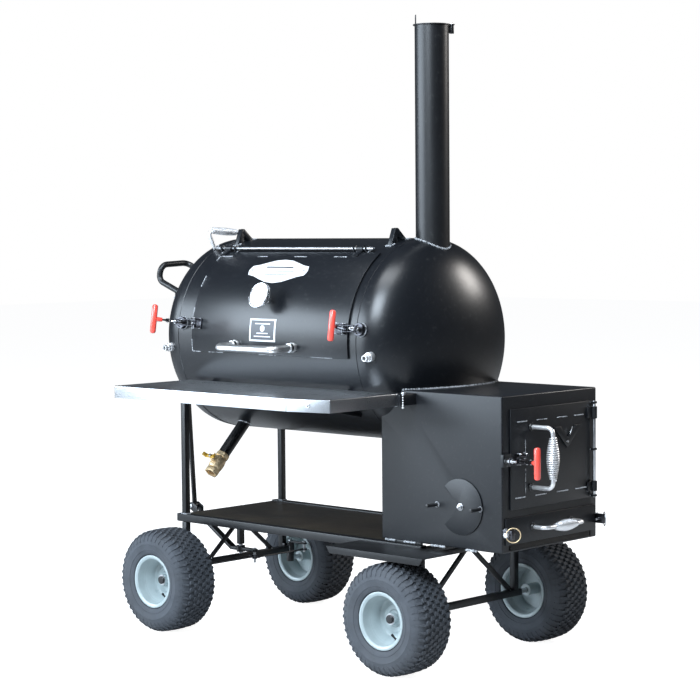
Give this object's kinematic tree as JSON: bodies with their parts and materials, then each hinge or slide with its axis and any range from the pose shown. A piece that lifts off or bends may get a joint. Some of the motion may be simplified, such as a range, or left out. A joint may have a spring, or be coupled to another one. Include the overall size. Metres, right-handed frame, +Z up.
{
  "type": "offset smoker",
  "caption": "Offset barrel smoker with a hinged lid, tall stack, side firebox with door and ash drawer, front shelf, and a steerable wheeled cart.",
  "frame": {"origin": "middle of the footprint box, on the ground", "axes": "+X towards the firebox end, -Y towards the cook's side with the table, +Z up"},
  "size_m": [2.1014, 1.2374, 2.3744],
  "materials": {
    "black_paint": "semi-gloss",
    "bare_steel": "satin",
    "stainless": "brushed",
    "bright_plate": "bright",
    "dark_zinc": "satin",
    "red_vinyl": "satin",
    "brass": "satin",
    "yellow_vinyl": "satin",
    "tyre_rubber": "matte",
    "rim_grey": "satin"
  },
  "bodies": {
    "frame": {"tank_barrel": "black_paint", "tank_head_left": "black_paint", "tank_head_right": "black_paint", "stack_pipe": "black_paint", "firebox_shell": "black_paint", "fire_grate": "bare_steel", "heat_deflector": "bare_steel", "cooking_grate": "bare_steel", "drain_pipe": "black_paint", "drain_valve_body": "brass", "front_table": "stainless", "chassis_frame": "black_paint", "shelf_plate": "black_paint", "fender_plate": "black_paint", "leg_front": "black_paint", "leg_back": "black_paint", "rear_axle": "black_paint", "front_axle": "black_paint", "grab_handle": "bright_plate", "push_handle": "black_paint", "probe_port_left": "bright_plate", "probe_port_right": "bright_plate", "lid_stop_left": "black_paint", "lid_stop_right": "black_paint", "lid_hinge_rod": "black_paint"},
    "lid": {"lid_panel": "black_paint", "lid_handle": "stainless", "thermometer": "bright_plate", "lid_clamp_left_base": "dark_zinc", "lid_clamp_right_base": "dark_zinc"},
    "lid_clamp_left_arm": {"lid_clamp_left_arm": "dark_zinc"},
    "lid_clamp_left_lever": {"lid_clamp_left_lever": "red_vinyl"},
    "lid_clamp_right_arm": {"lid_clamp_right_arm": "dark_zinc"},
    "lid_clamp_right_lever": {"lid_clamp_right_lever": "red_vinyl"},
    "stack_cap": {"stack_cap": "black_paint"},
    "drain_valve_lever": {"drain_valve_lever": "yellow_vinyl"},
    "firebox_door": {"firebox_door": "black_paint", "firebox_door_handle": "bright_plate", "firebox_clamp_base": "dark_zinc"},
    "firebox_clamp_arm": {"firebox_clamp_arm": "dark_zinc"},
    "firebox_clamp_lever": {"firebox_clamp_lever": "red_vinyl"},
    "air_damper": {"air_damper": "black_paint"},
    "ash_drawer": {"ash_drawer": "black_paint", "ash_drawer_handle": "bright_plate"},
    "linch_pin_front": {"linch_pin_front": "dark_zinc"},
    "linch_pin_back": {"linch_pin_back": "dark_zinc"},
    "steering_drawbar": {"steering_drawbar": "black_paint"},
    "pull_tongue": {"pull_tongue": "black_paint"},
    "knuckle_front": {"knuckle_front": "black_paint"},
    "knuckle_back": {"knuckle_back": "black_paint"},
    "tie_rod_front": {"tie_rod_front": "dark_zinc"},
    "tie_rod_back": {"tie_rod_back": "dark_zinc"},
    "wheel_front_left": {"tyre_front_left": "tyre_rubber", "rim_front_left": "rim_grey"},
    "wheel_back_left": {"tyre_back_left": "tyre_rubber", "rim_back_left": "rim_grey"},
    "wheel_front_right": {"tyre_front_right": "tyre_rubber", "rim_front_right": "rim_grey"},
    "wheel_back_right": {"tyre_back_right": "tyre_rubber", "rim_back_right": "rim_grey"}
  },
  "joints": [
    {"name": "lid_hinge", "type": "hinge", "parent": "frame", "child": "lid", "pos_m": [-0.1807, -0.06976, 1.51379], "axis": [-1, 0, 0], "range_deg": [0, 135]},
    {"name": "lid_clamp_left_lever_pivot", "type": "hinge", "parent": "lid", "child": "lid_clamp_left_lever", "pos_m": [-0.5597, -0.27225, 1.2265], "axis": [0, 0.1409, 0.99], "range_deg": [0, 80]},
    {"name": "lid_clamp_left_arm_pivot", "type": "hinge", "parent": "lid", "child": "lid_clamp_left_arm", "pos_m": [-0.5377, -0.28413, 1.22819], "axis": [0, 0.1409, 0.99], "range_deg": [0, 80]},
    {"name": "lid_clamp_right_lever_pivot", "type": "hinge", "parent": "lid", "child": "lid_clamp_right_lever", "pos_m": [0.2478, -0.27225, 1.2265], "axis": [0, -0.1409, -0.99], "range_deg": [0, 80]},
    {"name": "lid_clamp_right_arm_pivot", "type": "hinge", "parent": "lid", "child": "lid_clamp_right_arm", "pos_m": [0.2258, -0.28413, 1.22819], "axis": [0, -0.1409, -0.99], "range_deg": [0, 80]},
    {"name": "firebox_door_hinge", "type": "hinge", "parent": "frame", "child": "firebox_door", "pos_m": [0.9003, 0.36525, 0.78], "axis": [0, 0, 1], "range_deg": [0, 120]},
    {"name": "firebox_clamp_lever_pivot", "type": "hinge", "parent": "firebox_door", "child": "firebox_clamp_lever", "pos_m": [0.9052, -0.07075, 0.782], "axis": [0, 0, 1], "range_deg": [0, 50]},
    {"name": "firebox_clamp_arm_pivot", "type": "hinge", "parent": "firebox_door", "child": "firebox_clamp_arm", "pos_m": [0.9172, -0.04875, 0.782], "axis": [0, 0, 1], "range_deg": [0, 50]},
    {"name": "air_damper_pivot", "type": "hinge", "parent": "frame", "child": "air_damper", "pos_m": [0.7003, -0.14725, 0.605], "axis": [0, -1, 0], "range_deg": [0, 90]},
    {"name": "ash_drawer_slide", "type": "slide", "parent": "frame", "child": "ash_drawer", "axis": [1, 0, 0], "range_m": [0, 0.45]},
    {"name": "linch_pin_front_slide", "type": "slide", "parent": "ash_drawer", "child": "linch_pin_front", "axis": [0, -1, 0], "range_m": [0, 0.035]},
    {"name": "linch_pin_back_slide", "type": "slide", "parent": "ash_drawer", "child": "linch_pin_back", "axis": [0, 1, 0], "range_m": [0, 0.035]},
    {"name": "stack_cap_pivot", "type": "hinge", "parent": "frame", "child": "stack_cap", "pos_m": [0.39066, 0.17532, 2.335], "axis": [0, 0, 1], "range_deg": [0, 100]},
    {"name": "drain_valve_stem", "type": "hinge", "parent": "frame", "child": "drain_valve_lever", "pos_m": [-0.5337, -0.17489, 0.66786], "axis": [0, -0.7071, 0.7071], "range_deg": [0, 90]},
    {"name": "steering_pivot", "type": "hinge", "parent": "frame", "child": "steering_drawbar", "pos_m": [-0.7203, 0.12475, 0.277], "axis": [0, 0, 1], "range_deg": [-25, 25]},
    {"name": "tongue_hinge", "type": "hinge", "parent": "steering_drawbar", "child": "pull_tongue", "pos_m": [-0.9987, 0.12475, 0.43], "axis": [0, -1, 0], "range_deg": [0, 100]},
    {"name": "kingpin_front", "type": "hinge", "parent": "frame", "child": "knuckle_front", "pos_m": [-0.7203, -0.16275, 0.245], "axis": [0, 0, 1], "range_deg": [-25, 25]},
    {"name": "kingpin_back", "type": "hinge", "parent": "frame", "child": "knuckle_back", "pos_m": [-0.7203, 0.41225, 0.245], "axis": [0, 0, 1], "range_deg": [-25, 25]},
    {"name": "tie_rod_front_pivot", "type": "hinge", "parent": "steering_drawbar", "child": "tie_rod_front", "pos_m": [-0.6377, 0.12475, 0.256], "axis": [0, 0, 1], "range_deg": [-25, 25]},
    {"name": "tie_rod_back_pivot", "type": "hinge", "parent": "steering_drawbar", "child": "tie_rod_back", "pos_m": [-0.6377, 0.12475, 0.247], "axis": [0, 0, 1], "range_deg": [-25, 25]},
    {"name": "wheel_front_left_axle", "type": "hinge", "parent": "knuckle_front", "child": "wheel_front_left", "pos_m": [-0.7203, -0.27465, 0.203], "axis": [0, 1, 0], "continuous": true},
    {"name": "wheel_back_left_axle", "type": "hinge", "parent": "knuckle_back", "child": "wheel_back_left", "pos_m": [-0.7203, 0.52415, 0.203], "axis": [0, 1, 0], "continuous": true},
    {"name": "wheel_front_right_axle", "type": "hinge", "parent": "frame", "child": "wheel_front_right", "pos_m": [0.5041, -0.27465, 0.203], "axis": [0, 1, 0], "continuous": true},
    {"name": "wheel_back_right_axle", "type": "hinge", "parent": "frame", "child": "wheel_back_right", "pos_m": [0.5041, 0.52415, 0.203], "axis": [0, 1, 0], "continuous": true}
  ],
  "couplings": [
    {"joint": "lid_clamp_left_arm_pivot", "follows": "lid_clamp_left_lever_pivot", "ratio": 1},
    {"joint": "lid_clamp_right_arm_pivot", "follows": "lid_clamp_right_lever_pivot", "ratio": 1},
    {"joint": "firebox_clamp_arm_pivot", "follows": "firebox_clamp_lever_pivot", "ratio": 1},
    {"joint": "kingpin_front", "follows": "steering_pivot", "ratio": 1},
    {"joint": "kingpin_back", "follows": "steering_pivot", "ratio": 1},
    {"joint": "tie_rod_front_pivot", "follows": "steering_pivot", "ratio": -1},
    {"joint": "tie_rod_back_pivot", "follows": "steering_pivot", "ratio": -1}
  ]
}
